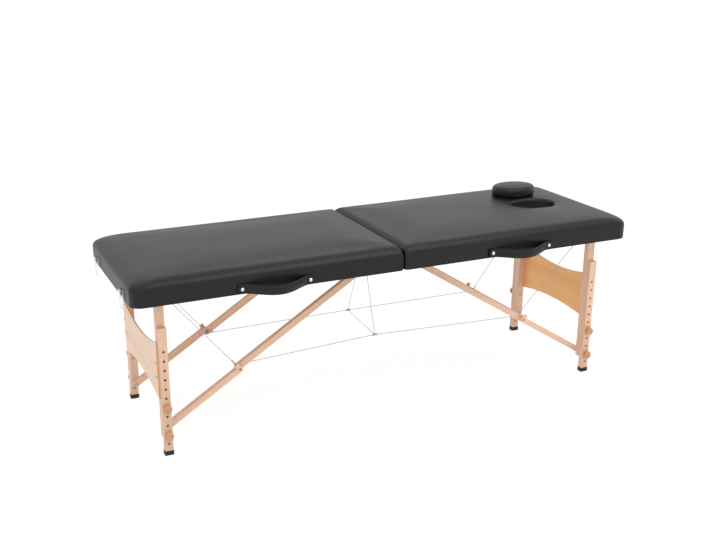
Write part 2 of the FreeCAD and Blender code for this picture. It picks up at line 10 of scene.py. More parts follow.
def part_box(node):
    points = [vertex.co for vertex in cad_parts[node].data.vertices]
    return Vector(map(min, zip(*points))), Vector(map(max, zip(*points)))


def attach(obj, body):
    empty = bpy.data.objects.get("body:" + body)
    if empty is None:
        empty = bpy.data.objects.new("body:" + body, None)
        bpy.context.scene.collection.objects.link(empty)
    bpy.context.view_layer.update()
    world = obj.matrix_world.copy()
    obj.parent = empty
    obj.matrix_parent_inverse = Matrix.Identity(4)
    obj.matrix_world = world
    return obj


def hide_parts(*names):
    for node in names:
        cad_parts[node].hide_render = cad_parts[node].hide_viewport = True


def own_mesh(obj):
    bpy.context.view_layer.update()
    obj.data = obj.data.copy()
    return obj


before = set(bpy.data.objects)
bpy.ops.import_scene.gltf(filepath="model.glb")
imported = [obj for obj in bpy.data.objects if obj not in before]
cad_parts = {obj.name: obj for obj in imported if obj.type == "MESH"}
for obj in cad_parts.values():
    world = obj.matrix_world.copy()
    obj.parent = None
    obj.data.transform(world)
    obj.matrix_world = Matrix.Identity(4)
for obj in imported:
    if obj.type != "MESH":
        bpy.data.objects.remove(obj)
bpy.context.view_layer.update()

# Camera of the photograph, found by matching points of the model to their pixels (metres, radians)
CAMERA_TARGET = Vector((-0.248581, -0.075732, 0.408954))
CAMERA_TURN = -0.402053
CAMERA_RISE = 0.348366
CAMERA_ROLL = -0.007537
CAMERA_DISTANCE = 3.534956
CAMERA_LENS = 50.514
CAMERA_SHIFT = (0.06184, 0.04173)

# Cushions (metres): heights, roundings at the end, sides and fold, corners, hem, and the simulation's
# pinned height, grid, pressure and largest swell
APRON_BOTTOM = 0.546
FORM_BOTTOM = 0.530
ROUND_START = 0.5975
ROUND_HEIGHT = 0.029
CROWN = 0.0055
CROWN_REACH = 0.19
FOOT_ROUNDS = (0.066, 0.041, 0.014)
HEAD_ROUNDS = (0.052, 0.033, 0.026)
END_CORNER = 0.038
CORNER_SAG = 1.1
CORNER_LIMIT = 0.45
FOLD_CORNER = 0.005
FOLD_CORNER_REACH = 0.018
FOLD_CORNER_TOP = 0.602
FOLD_CLEARANCE = 0.0012
PINNED_BELOW = 0.596
CUSHION_VOXEL = 0.008
CUSHION_CAP = 0.0045
PRESSURE = 4.0
HEM_THICKNESS = 0.0014
HEM_TURN = 0.014
HEM_FOLD_SIDE = 0.012

# Face hole with its sleeve, and the plug
HOLE_CENTRE = (0.718, 0.020)
HOLE_HALF = (0.088, 0.067)
HOLE_LIP = 0.007
HOLE_CLEARANCE = 0.0007
HOLE_CUT_BOTTOM = 0.572
SLEEVE_REACH = (0.12, 0.10)
SLEEVE_PINNED_REACH = (0.115, 0.092)
SLEEVE_PINNED_BELOW = 0.608
PLUG_SHRINK = 0.0025
PLUG_VOXEL = 0.004
PLUG_CAP = 0.003
PLUG_PROFILE = ((0.88, 0.0), (0.96, 0.03), (0.99, 0.10), (1.0, 0.26), (1.0, 0.52), (0.985, 0.70),
                (0.95, 0.83), (0.89, 0.91), (0.80, 0.95), (0.50, 0.99), (0.25, 1.0))

# Strap handles
STRAP_HALF_HEIGHT = 0.016
STRAP_TAB = 0.132
STRAP_FREE = 0.106
STRAP_BOW = 0.0440
STRAP_DROOP = 0.004
STRAP_BACK = 0.0035
STRAP_HALF_THICKNESS = 0.0035
STRAP_HEM_THINNER = 0.0013
STRAP_PAD_THICKER = 0.0022
STRAP_PAD_HALF = 0.082
STRAP_PAD_FADE = 0.022
STRAP_STEPS = 84
STITCH_PITCH = 0.0052
STITCH_LENGTH = 0.0034
STITCH_RADIUS = 0.00045
STITCH_ROWS = (-0.74, 0.74)
STITCH_INSET = 0.008

# Steel cables
CABLE_RADIUS = 0.0012
CABLE_PITCH = 0.020
CABLE_STRANDS = 6
BOLT_RADIUS = 0.004
FERRULE_START = 0.006
FERRULE_END = 0.020
# Sleeve and clamp profiles: share of the length, radius
FERRULE = ((0.0, 0.0019), (0.06, 0.0026), (0.30, 0.0026), (0.36, 0.0022), (0.44, 0.0022),
           (0.50, 0.0026), (0.90, 0.0026), (1.0, 0.0018))
CLAMP = ((0.0, 0.0030), (0.05, 0.0040), (0.24, 0.0040), (0.30, 0.0034), (0.40, 0.0034), (0.46, 0.0040),
         (0.54, 0.0040), (0.60, 0.0034), (0.70, 0.0034), (0.76, 0.0040), (0.95, 0.0040), (1.0, 0.0030))
CLAMP_SCREW = ((0.0, 0.0016), (0.8, 0.0016), (1.0, 0.0011))

# Grain directions: turns that lay the grain along X; the braces rise above the horizontal
BRACE_RISE = math.radians(32.0)
UPRIGHT = (0, math.pi / 2, 0)
ACROSS = (0, 0, -math.pi / 2)

# Colours
BEECH = (0.775, 0.515, 0.370)
PINE = (0.58, 0.40, 0.23)
PALE_VENEER = (0.83, 0.600, 0.445)
PANEL_CORE = (0.36, 0.19, 0.09)
# The golden inner veneer is partly painted shade: the inner faces lie in the shade under the table
INNER_VENEER_WITH_PAINTED_SHADE = (0.92, 0.525, 0.220)

# Lamps: place, target, size and power
KEY_LIGHT = ((-2.6, -2.4, 3.6), (0, 0, 0.5), 3.0, 8)
TOP_LIGHT = ((0.9, -1.7, 3.4), (0, 0, 0.6), 2.4, 36)

# White of the floor as the camera sees it, and its share; the rest shows light and shadow
FLOOR_GLOW = 1.08
FLOOR_GLOW_SHARE = 0.80


def node_of(tree, kind, **values):
    made = tree.nodes.new(kind)
    for key, value in values.items():
        setattr(made, key, value)
    return made


def new_material(name, roughness, metallic=0.0, ior=1.45):
    material = bpy.data.materials.new(name)
    material.use_nodes = True
    tree = material.node_tree
    tree.nodes.clear()
    output = node_of(tree, "ShaderNodeOutputMaterial")
    shader = node_of(tree, "ShaderNodeBsdfPrincipled")
    shader.inputs["Roughness"].default_value = roughness
    shader.inputs["Metallic"].default_value = metallic
    shader.inputs["IOR"].default_value = ior
    tree.links.new(shader.outputs["BSDF"], output.inputs["Surface"])
    return material, tree, shader


def object_points(tree, turn=(0, 0, 0), stretch=(1, 1, 1)):
    """Object coordinates, turned and then stretched."""
    place = node_of(tree, "ShaderNodeTexCoord")
    turned = node_of(tree, "ShaderNodeMapping")
    turned.inputs["Rotation"].default_value = turn
    scaled = node_of(tree, "ShaderNodeMapping")
    scaled.inputs["Scale"].default_value = stretch
    tree.links.new(place.outputs["Object"], turned.inputs["Vector"])
    tree.links.new(turned.outputs["Vector"], scaled.inputs["Vector"])
    return scaled.outputs["Vector"]


def noise(tree, points, scale, detail=3.0, rough=0.5):
    texture = node_of(tree, "ShaderNodeTexNoise")
    texture.inputs["Scale"].default_value = scale
    texture.inputs["Detail"].default_value = detail
    texture.inputs["Roughness"].default_value = rough
    tree.links.new(points, texture.inputs["Vector"])
    return texture.outputs["Fac"]


def ramp(tree, value, stops, constant=False):
    """Colour ramp; stops are (position, (r, g, b)) pairs."""
    made = node_of(tree, "ShaderNodeValToRGB")
    band = made.color_ramp
    band.interpolation = "CONSTANT" if constant else "LINEAR"
    while len(band.elements) < len(stops):
        band.elements.new(1.0)
    for element, (position, colour) in zip(band.elements, stops):
        element.position = position
        element.color = (*colour, 1.0)
    tree.links.new(value, made.inputs["Fac"])
    return made.outputs["Color"]


def grey(tree, value, low, high, start=0.3, end=0.7):
    """Maps a 0 to 1 value to a number between low and high."""
    made = node_of(tree, "ShaderNodeMapRange")
    made.inputs["From Min"].default_value = start
    made.inputs["From Max"].default_value = end
    made.inputs["To Min"].default_value = low
    made.inputs["To Max"].default_value = high
    tree.links.new(value, made.inputs["Value"])
    return made.outputs["Result"]


def multiply(tree, first, second):
    made = node_of(tree, "ShaderNodeMix", data_type="RGBA", blend_type="MULTIPLY")
    made.inputs["Factor"].default_value = 1.0
    tree.links.new(first, made.inputs["A"])
    tree.links.new(second, made.inputs["B"])
    return made.outputs["Result"]


def bump(tree, shader, height, strength, distance):
    made = node_of(tree, "ShaderNodeBump")
    made.inputs["Strength"].default_value = strength
    made.inputs["Distance"].default_value = distance
    tree.links.new(height, made.inputs["Height"])
    tree.links.new(made.outputs["Normal"], shader.inputs["Normal"])


def shade(colour, factor):
    return tuple(channel * factor for channel in colour)


def wood(name, colour, turn, roughness=0.45, contrast=0.12):
    """Wood with bands, fibres and short dark flecks along the grain."""
    material, tree, shader = new_material(name, roughness)
    bands = noise(tree, object_points(tree, turn, (2.2, 38.0, 38.0)), 1.0, 3.0)
    fibres = noise(tree, object_points(tree, turn, (26.0, 700.0, 700.0)), 1.0, 2.0)
    flecks = noise(tree, object_points(tree, turn, (150.0, 1300.0, 1300.0)), 1.0, 1.0)
    dark, light = shade(colour, 1 - contrast), shade(colour, 1 + 0.5 * contrast)
    stops = [(0.30, dark), (0.52, colour), (0.72, light)]
    base = ramp(tree, bands, stops)
    fine = ramp(tree, fibres, [(0.30, (0.93, 0.91, 0.89)), (0.65, (1.0, 1.0, 1.0))])
    dashes = ramp(tree, flecks, [(0.26, (0.80, 0.74, 0.70)), (0.36, (1.0, 1.0, 1.0))])
    tree.links.new(multiply(tree, multiply(tree, base, fine), dashes), shader.inputs["Base Color"])
    tree.links.new(grey(tree, bands, roughness - 0.06, roughness + 0.06), shader.inputs["Roughness"])
    bump(tree, shader, fibres, 0.12, 0.0004)
    return material


def panel_wood(name):
    """Thin plywood: a pale outer veneer, a darker core and a golden inner veneer, layered along X; the
    inner veneer's golden is partly painted shade.
    """
    material, tree, shader = new_material(name, 0.42)
    place = node_of(tree, "ShaderNodeTexCoord")
    split = node_of(tree, "ShaderNodeSeparateXYZ")
    tree.links.new(place.outputs["Object"], split.inputs["Vector"])
    distance = node_of(tree, "ShaderNodeMath", operation="ABSOLUTE")
    tree.links.new(split.outputs["X"], distance.inputs[0])
    low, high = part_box("head_leg_panel")
    layer = grey(tree, distance.outputs["Value"], 0.0, 1.0, low.x, high.x)
    veneers = [(0.0, INNER_VENEER_WITH_PAINTED_SHADE), (0.36, PANEL_CORE), (0.62, PALE_VENEER)]
    base = ramp(tree, layer, veneers, constant=True)
    bands = noise(tree, object_points(tree, ACROSS, (1.6, 30.0, 30.0)), 1.0, 4.0)
    fibres = noise(tree, object_points(tree, ACROSS, (22.0, 600.0, 600.0)), 1.0, 2.0)
    tints = [(0.30, (0.90, 0.87, 0.82)), (0.55, (1.0, 1.0, 1.0)), (0.75, (1.04, 1.03, 1.02))]
    wide = ramp(tree, bands, tints)
    fine = ramp(tree, fibres, [(0.30, (0.94, 0.92, 0.90)), (0.65, (1.0, 1.0, 1.0))])
    tree.links.new(multiply(tree, multiply(tree, base, wide), fine), shader.inputs["Base Color"])
    bump(tree, shader, fibres, 0.08, 0.0003)
    return material


def vinyl(name, roughness=0.40, cell=700.0):
    """Black upholstery vinyl with a fine pressed leather grain."""
    material, tree, shader = new_material(name, roughness, ior=1.40)
    points = object_points(tree)
    clouds = noise(tree, points, 9.0, 3.0)
    shades = [(0.3, (0.0040, 0.0040, 0.0044)), (0.7, (0.0052, 0.0052, 0.0056))]
    tree.links.new(ramp(tree, clouds, shades), shader.inputs["Base Color"])
    pebbles = node_of(tree, "ShaderNodeTexVoronoi", feature="F1")
    pebbles.inputs["Scale"].default_value = cell
    tree.links.new(points, pebbles.inputs["Vector"])
    tree.links.new(grey(tree, clouds, roughness - 0.012, roughness + 0.012), shader.inputs["Roughness"])
    bump(tree, shader, pebbles.outputs["Distance"], 0.22, 0.0005)
    return material


def metal(name, colour, roughness, scratches=(400.0, 400.0, 40.0)):
    material, tree, shader = new_material(name, roughness, metallic=1.0)
    marks = noise(tree, object_points(tree, stretch=scratches), 1.0, 2.0)
    stops = [(0.3, shade(colour, 0.90)), (0.7, colour)]
    tree.links.new(ramp(tree, marks, stops), shader.inputs["Base Color"])
    tree.links.new(grey(tree, marks, roughness * 0.8, roughness * 1.25), shader.inputs["Roughness"])
    bump(tree, shader, marks, 0.05, 0.0002)
    return material


def rubber(name):
    material, tree, shader = new_material(name, 0.72, ior=1.4)
    grains = noise(tree, object_points(tree), 900.0, 2.0)
    stops = [(0.3, (0.014, 0.014, 0.014)), (0.7, (0.026, 0.026, 0.026))]
    tree.links.new(ramp(tree, grains, stops), shader.inputs["Base Color"])
    bump(tree, shader, grains, 0.15, 0.0004)
    return material


MATERIALS = {
    "upright_beech": wood("upright_beech", BEECH, UPRIGHT),
    # The extensions' beech is 3% darker: painted shade that offsets the key light falling on them
    "extension_beech_painted_shade": wood("extension_beech_painted_shade", shade(BEECH, 0.97), UPRIGHT),
    "foot_brace_beech": wood("foot_brace_beech", BEECH, (0, BRACE_RISE, 0)),
    "head_brace_beech": wood("head_brace_beech", BEECH, (0, -BRACE_RISE, 0)),
    # The knobs' darker, deeper orange than the beech is partly painted shade
    "knob_wood_and_painted_shade": wood("knob_wood_and_painted_shade", (0.60, 0.30, 0.155), ACROSS, 0.38, 0.18),
    "rail_pine": wood("rail_pine", PINE, (0, 0, 0), 0.6, 0.2),
    "cross_pine": wood("cross_pine", PINE, ACROSS, 0.6, 0.2),
    "deck_plywood": wood("deck_plywood", (0.56, 0.37, 0.19), (0, 0, 0), 0.6, 0.22),
    "panel_plywood": panel_wood("panel_plywood"),
    "black_vinyl": vinyl("black_vinyl"),
    "strap_vinyl": vinyl("strap_vinyl", 0.5, 900.0),
    "thread": rubber("thread"),
    "chrome": metal("chrome", (0.80, 0.80, 0.82), 0.14),
    "zinc": metal("zinc", (0.62, 0.62, 0.63), 0.34),
    "dull_zinc": metal("dull_zinc", (0.46, 0.43, 0.40), 0.48),
    "cable_steel": metal("cable_steel", (0.54, 0.54, 0.55), 0.34, (40.0, 900.0, 900.0)),
    "black_rubber": rubber("black_rubber"),
}

# Material of each kind of CAD node, by the end of its name
NODE_MATERIALS = (
    ("side_rails", "rail_pine"), ("cross_rails", "cross_pine"), ("pivot_blocks", "rail_pine"),
    ("deck", "deck_plywood"), ("leg_panel", "panel_plywood"), ("leg_extension", "extension_beech_painted_shade"),
    ("knobs", "knob_wood_and_painted_shade"), ("rubber_foot", "black_rubber"), ("bumpers", "black_rubber"),
    ("hinge_leaves", "zinc"), ("hinge_rod", "zinc"),
    ("leg_fasteners", "dull_zinc"), ("brace_hardware", "dull_zinc"),
    ("latch_bases", "chrome"), ("latch_keepers", "chrome"), ("latch_lever", "chrome"),
    ("latch_bail", "chrome"), ("handle_screws", "chrome"), ("_leg", "upright_beech"),
)
# Width of the eased edges of the wooden and rubber nodes, by the end of the name
EASED_EDGES = (
    ("side_rails", 0.0050), ("cross_rails", 0.0050), ("deck", 0.0025),
    ("_leg", 0.0012), ("leg_extension", 0.0012), ("leg_panel", 0.0012),
    ("braces", 0.0012), ("rubber_foot", 0.0012), ("knuckle_plates", 0.0012),
)


def dress_nodes():
    """Gives every CAD node that stays visible its material, and eases the edges of the wooden ones."""
    for name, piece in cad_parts.items():
        chosen = next((m for end, m in NODE_MATERIALS if name.endswith(end)), None)
        if name.endswith(("braces", "knuckle_plates")):
            chosen = name[:4] + "_brace_beech"
        if chosen:
            piece.data.materials.clear()
            piece.data.materials.append(MATERIALS[chosen])
        width = next((w for end, w in EASED_EDGES if name.endswith(end)), None)
        if width:
            ease = piece.modifiers.new("eased_edges", "BEVEL")
            ease.width = width
            ease.segments = 2
            ease.limit_method = "ANGLE"
            ease.angle_limit = math.radians(50)


def new_object(name, mesh):
    made = bpy.data.objects.new(name, mesh)
    bpy.context.scene.collection.objects.link(made)
    return made


def from_bmesh(name, form, smooth=True):
    mesh = bpy.data.meshes.new(name)
    form.to_mesh(mesh)
    form.free()
    for face in mesh.polygons:
        face.use_smooth = smooth
    return new_object(name, mesh)


def evaluated_copy(piece):
    """The mesh of a piece with its modifiers applied."""
    depsgraph = bpy.context.evaluated_depsgraph_get()
    return bpy.data.meshes.new_from_object(piece.evaluated_get(depsgraph))


def apply_modifiers(piece):
    mesh = evaluated_copy(piece)
    piece.modifiers.clear()
    piece.data = mesh


def stack_loops(name, loops):
    """Closed form through loops of equal length, each a list of points."""
    form = bmesh.new()
    rings = [[form.verts.new(point) for point in loop] for loop in loops]
    count = len(rings[0])
    for low, high in zip(rings, rings[1:]):
        for i in range(count):
            j = (i + 1) % count
            form.faces.new((low[i], low[j], high[j], high[i]))
    form.faces.new(list(reversed(rings[0])))
    form.faces.new(rings[-1])
    bmesh.ops.recalc_face_normals(form, faces=form.faces)
    return from_bmesh(name, form)


def half_outline(side, insets, z, width):
    """Rounded outline of a table half. Side is -1 for the foot half.

    The insets are at the end, the sides and the fold.
    """
    end_in, side_in, fold_in = insets
    near, far = width["fold"] + fold_in, width["end"] - end_in
    y0, y1 = width["front"] + side_in, width["rear"] - side_in
    soft_corner = min(END_CORNER + CORNER_SAG * side_in, CORNER_LIMIT * (y1 - y0))
    corners = (
        (far, y0, soft_corner, -90), (far, y1, soft_corner, 0),
        (near, y1, FOLD_CORNER, 90), (near, y0, FOLD_CORNER, 180),
    )
    points = []
    for x, y, radius, start in corners:
        cx = x - math.copysign(radius, x - (near + far) / 2)
        cy = y - math.copysign(radius, y - (y0 + y1) / 2)
        for step in range(9):
            angle = math.radians(start + 90 * step / 8)
            out_x = cx + radius * math.cos(angle)
            points.append(Vector((side * out_x, cy + radius * math.sin(angle), z)))
    return points


def cushion_form(name, side, rounds):
    """A padded half: straight apron, rounded shoulders and crowned top, a little under its final size."""
    low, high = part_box(name.replace("cushion", "cover"))
    width = {"fold": min(abs(low.x), abs(high.x)), "end": max(abs(low.x), abs(high.x)),
             "front": low.y, "rear": high.y}
    loops = [half_outline(side, (0, 0, 0), z, width) for z in (FORM_BOTTOM, ROUND_START)]
    for step in range(1, 11):
        angle = math.pi / 2 * step / 10
        insets = [size * (1 - math.cos(angle)) for size in rounds]
        loops.append(half_outline(side, insets, ROUND_START + ROUND_HEIGHT * math.sin(angle), width))
    shoulder = ROUND_START + ROUND_HEIGHT
    for step in range(1, 9):
        share = step / 8
        insets = [size + share * CROWN_REACH for size in rounds]
        loops.append(half_outline(side, insets, shoulder + CROWN * math.sin(math.pi / 2 * share), width))
    return stack_loops(name, loops)


def oval(centre, half, z, count=48):
    return [Vector((centre[0] + half[0] * math.cos(2 * math.pi * i / count),
                    centre[1] + half[1] * math.sin(2 * math.pi * i / count), z)) for i in range(count)]


def cut_face_hole(cushion, centre):
    """Cuts the oval hole with a rolled lip."""
    loops = [oval(centre, HOLE_HALF, FORM_BOTTOM - 0.02)]
    lip_top = ROUND_START + ROUND_HEIGHT + CROWN + HOLE_CLEARANCE
    for step in range(7):
        angle = math.pi / 2 * step / 6
        out = HOLE_LIP * (1 - math.cos(angle))
        z = lip_top - 1.6 * HOLE_LIP * (1 - math.sin(angle))
        loops.append(oval(centre, [size + out for size in HOLE_HALF], z))
    loops.append(oval(centre, [size + HOLE_LIP for size in HOLE_HALF], lip_top + 0.05))
    cutter = stack_loops("hole_cutter", loops)
    cut = cushion.modifiers.new("hole", "BOOLEAN")
    cut.operation = "DIFFERENCE"
    cut.object = cutter
    apply_modifiers(cushion)
    bpy.data.objects.remove(cutter)


def remesh(piece, voxel, smoothing):
    """Even grid over a form, smoothed and then laid back on the form's own surface."""
    surface = BVHTree.FromPolygons([v.co for v in piece.data.vertices],
                                   [p.vertices[:] for p in piece.data.polygons])
    grid = piece.modifiers.new("grid", "REMESH")
    grid.mode = "VOXEL"
    grid.voxel_size = voxel
    apply_modifiers(piece)
    form = bmesh.new()
    form.from_mesh(piece.data)
    for _ in range(smoothing):
        bmesh.ops.smooth_vert(form, verts=form.verts, factor=0.5, use_axis_x=True, use_axis_y=True,
                              use_axis_z=True)
    for vertex in form.verts:
        vertex.co = surface.find_nearest(vertex.co)[0]
    form.to_mesh(piece.data)
    form.free()
    return surface


def fill_fold_corners(piece, surface, low, high):
    """Lays the apron back on the form at the corners beside the fold, where the grid cuts them off."""
    for vertex in piece.data.vertices:
        x, y, z = vertex.co
        at_corner = abs(x) < FOLD_CORNER_REACH and min(y - low.y, high.y - y) < FOLD_CORNER_REACH
        if at_corner and APRON_BOTTOM + HEM_TURN + 0.004 < z < FOLD_CORNER_TOP:
            vertex.co = surface.find_nearest(vertex.co)[0]


def even_out(piece, moves, is_pinned, rounds=40):
    """Spreads the swell between neighbouring points, so that the taut cover has no ripples."""
    edges = np.array([e.vertices[:] for e in piece.data.edges])
    count = np.bincount(edges.ravel(), minlength=len(moves))[:, None]
    held = np.array([is_pinned(vertex.co) for vertex in piece.data.vertices])
    swell = np.array(moves)
    for _ in range(rounds):
        total = np.zeros_like(swell)
        np.add.at(total, edges[:, 0], swell[edges[:, 1]])
        np.add.at(total, edges[:, 1], swell[edges[:, 0]])
        swell = 0.4 * swell + 0.6 * total / count
        swell[held] = 0.0
    return swell


def inflate(piece, is_pinned, pressure, cap, frames=20):
    """Swells a closed form by cloth pressure: no point sinks in, or moves further than about the cap."""
    before = [vertex.co.copy() for vertex in piece.data.vertices]
    outward = [vertex.normal.copy() for vertex in piece.data.vertices]
    group = piece.vertex_groups.new(name="pinned")
    group.add([i for i, point in enumerate(before) if is_pinned(point)], 1.0, "REPLACE")
    cloth = piece.modifiers.new("cloth", "CLOTH")
    cloth.settings.quality = 4
    cloth.settings.mass = 0.3
    cloth.settings.tension_stiffness = 18
    cloth.settings.compression_stiffness = 18
    cloth.settings.shear_stiffness = 8
    cloth.settings.bending_stiffness = 2
    cloth.settings.use_pressure = True
    cloth.settings.uniform_pressure_force = pressure
    cloth.settings.vertex_group_mass = "pinned"
    cloth.settings.effector_weights.gravity = 0
    cloth.collision_settings.use_collision = False
    cloth.point_cache.frame_start = 1
    cloth.point_cache.frame_end = frames
    scene = bpy.context.scene
    for number in range(1, frames + 1):
        scene.frame_set(number)
    swollen = evaluated_copy(piece)
    piece.modifiers.remove(cloth)
    piece.vertex_groups.remove(group)
    moves = []
    for start, way, end in zip(before, outward, swollen.vertices):
        move = end.co - start
        move -= way * min(0.0, move.dot(way))
        length = max(move.length, 1e-9)
        moves.append(move * (cap * math.tanh(length / cap) / length))
    bpy.data.meshes.remove(swollen)
    for vertex, start, move in zip(piece.data.vertices, before, even_out(piece, moves, is_pinned)):
        vertex.co = start + Vector(move)
    scene.frame_set(1)


def trim_cushion(piece, side, hole):
    """Cuts the form off at the apron's lower edge, opens the sleeve and turns the hem under the rails."""
    form = bmesh.new()
    form.from_mesh(piece.data)
    bmesh.ops.bisect_plane(form, geom=form.verts[:] + form.edges[:] + form.faces[:],
                           plane_co=(0, 0, APRON_BOTTOM), plane_no=(0, 0, -1), clear_outer=True)
    if hole:
        inner = [f for f in form.faces if f.calc_center_median().z < HOLE_CUT_BOTTOM and
                 abs(f.calc_center_median().x - hole[0]) < SLEEVE_REACH[0] and
                 abs(f.calc_center_median().y - hole[1]) < SLEEVE_REACH[1]]
        bmesh.ops.delete(form, geom=inner, context="FACES")
    for vertex in form.verts:
        if vertex.co.x * side < FOLD_CLEARANCE:
            vertex.co.x = side * FOLD_CLEARANCE
    edge = [e for e in form.edges
            if e.is_boundary and max(v.co.z for v in e.verts) < APRON_BOTTOM + 0.002]
    centre = Vector((sum(v.co.x for v in form.verts) / len(form.verts),
                     sum(v.co.y for v in form.verts) / len(form.verts), 0))
    inwards = {}
    for e in edge:
        along = (e.verts[1].co - e.verts[0].co).normalized()
        across = Vector((-along.y, along.x, 0))
        middle = (e.verts[0].co + e.verts[1].co) / 2
        if across.dot(centre - middle) < 0:
            across.negate()
        for v in e.verts:
            inwards[v] = inwards.get(v, Vector()) + across
    below = Vector((0, 0, -HEM_THICKNESS))
    hems = {}
    for v, way in inwards.items():
        if abs(v.co.x) < HEM_FOLD_SIDE:
            hems[v] = [v, form.verts.new(v.co + way.normalized() * HEM_THICKNESS)]
            hems[v].append(form.verts.new(hems[v][1].co + Vector((0, 0, HEM_TURN))))
        else:
            under = v.co + below
            inner = under + way.normalized() * HEM_TURN
            hems[v] = [form.verts.new(under), form.verts.new(inner), form.verts.new(inner - 0.8 * below)]
    for e in edge:
        a, b = e.verts
        strips = [[a, *hems[a]], [b, *hems[b]]]
        for step in range(3):
            corners = [strips[0][step], strips[1][step], strips[1][step + 1], strips[0][step + 1]]
            corners = list(dict.fromkeys(corners))
            if len(corners) > 2:
                form.faces.new(corners)
    bmesh.ops.recalc_face_normals(form, faces=form.faces)
    form.to_mesh(piece.data)
    form.free()


def smooth_faces(piece):
    for face in piece.data.polygons:
        face.use_smooth = True


def subdivide(piece):
    finer = piece.modifiers.new("finer", "SUBSURF")
    finer.levels = 1
    finer.render_levels = 1
    apply_modifiers(piece)
    smooth_faces(piece)


def make_cushion(half, side, rounds, hole=None):
    """One padded half: its form, the simulated swell, the hem, and what it stands for."""
    piece = cushion_form(half + "_cushion", side, rounds)
    if hole:
        cut_face_hole(piece, hole)
    surface = remesh(piece, CUSHION_VOXEL, 3)

    def is_pinned(point):
        sleeve = (hole and abs(point.x - hole[0]) < SLEEVE_PINNED_REACH[0]
                  and abs(point.y - hole[1]) < SLEEVE_PINNED_REACH[1])
        return point.z < (SLEEVE_PINNED_BELOW if sleeve else PINNED_BELOW)

    inflate(piece, is_pinned, PRESSURE, CUSHION_CAP)
    trim_cushion(piece, side, hole)
    subdivide(piece)
    fill_fold_corners(piece, surface, *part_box(half + "_cover"))
    piece.data.materials.append(MATERIALS["black_vinyl"])
    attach(piece, half + "_section")
    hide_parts(half + "_cover", half + "_foam")
    return piece


def make_plug(cushion):
    """The loose oval cushion, lying on the head half."""
    low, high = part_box("face_plug")
    centre = ((low.x + high.x) / 2, (low.y + high.y) / 2)
    half = ((high.x - low.x) / 2 - PLUG_SHRINK, (high.y - low.y) / 2 - PLUG_SHRINK)
    surface = BVHTree.FromPolygons([v.co for v in cushion.data.vertices],
                                   [p.vertices[:] for p in cushion.data.polygons])
    seats = []
    for point in oval(centre, (half[0] * 0.7, half[1] * 0.7), 1.0, 12):
        hit = surface.ray_cast(point, Vector((0, 0, -1)))[0]
        if hit:
            seats.append(hit.z)
    bottom = min(low.z, max(seats) + 0.0004) if seats else low.z
    tall = high.z - bottom - PLUG_SHRINK
    loops = [oval(centre, (half[0] * share, half[1] * share), bottom + tall * rise)
             for share, rise in PLUG_PROFILE]
    piece = stack_loops("plug_cushion", loops)
    remesh(piece, PLUG_VOXEL, 3)
    inflate(piece, lambda point: point.z < bottom + 0.002, PRESSURE, PLUG_CAP)
    for vertex in piece.data.vertices:
        vertex.co.z = max(vertex.co.z, bottom)
    subdivide(piece)
    piece.data.materials.append(MATERIALS["black_vinyl"])
    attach(piece, "face_plug")
    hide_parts("face_plug")
    return piece


def strap_frame(x, centre, wall):
    """Middle of the strap at a distance x along the apron, its outward normal and its padding."""
    def place(u):
        share = min(1.0, abs(u) / STRAP_FREE)
        rise = math.cos(math.pi / 2 * share) ** 1.25
        out = wall - STRAP_BACK - STRAP_BOW * rise
        return Vector((centre.x + u, out, centre.z - STRAP_DROOP * rise))
    along = (place(x + 0.001) - place(x - 0.001)).normalized()
    outward = Vector((along.y, -along.x, 0)).normalized()
    padding = 1 - min(1.0, max(0.0, (abs(x) - STRAP_PAD_HALF) / STRAP_PAD_FADE))
    return place(x), outward, padding


def strap_section(padding, squeeze):
    """Outer and inner side of the strap: hems top and bottom, and a padded roll between them."""
    roll = STRAP_HALF_THICKNESS + STRAP_PAD_THICKER * padding
    hem = STRAP_HALF_THICKNESS - STRAP_HEM_THINNER * padding
    outer = ((-1.0, 0.2), (-0.95, 0.85), (-0.80, 1.0), (-0.72, 0.72))
    points = [(share * STRAP_HALF_HEIGHT, deep * hem) for share, deep in outer]
    for share in (-0.56, -0.30, 0.0, 0.30, 0.56):
        bulge = (roll - hem * 0.8) * (1 - (share / 0.72) ** 2)
        points.append((share * STRAP_HALF_HEIGHT, hem * 0.8 + bulge))
    points += [(-height, deep) for height, deep in reversed(points[:4])]
    inner = [(height, -0.9 * deep) for height, deep in reversed(points[1:-1])]
    return [(height * squeeze, deep) for height, deep in points + inner]


def add_capsule(form, start, end, radius):
    """A short rounded stitch between two points."""
    along = (end - start).normalized()
    side = along.cross(Vector((0, 0, 1)))
    side = side.normalized() if side.length > 1e-6 else Vector((1, 0, 0))
    up = side.cross(along)
    rings = []
    for share, size in ((0.0, 0.4), (0.15, 0.9), (0.5, 1.0), (0.85, 0.9), (1.0, 0.4)):
        middle = start.lerp(end, share)
        rings.append([form.verts.new(middle + (side * math.cos(a) + up * math.sin(a)) * radius * size)
                      for a in (math.tau * i / 6 for i in range(6))])
    for low, high in zip(rings, rings[1:]):
        for i in range(6):
            form.faces.new((low[i], low[(i + 1) % 6], high[(i + 1) % 6], high[i]))
    form.faces.new(list(reversed(rings[0])))
    form.faces.new(rings[-1])


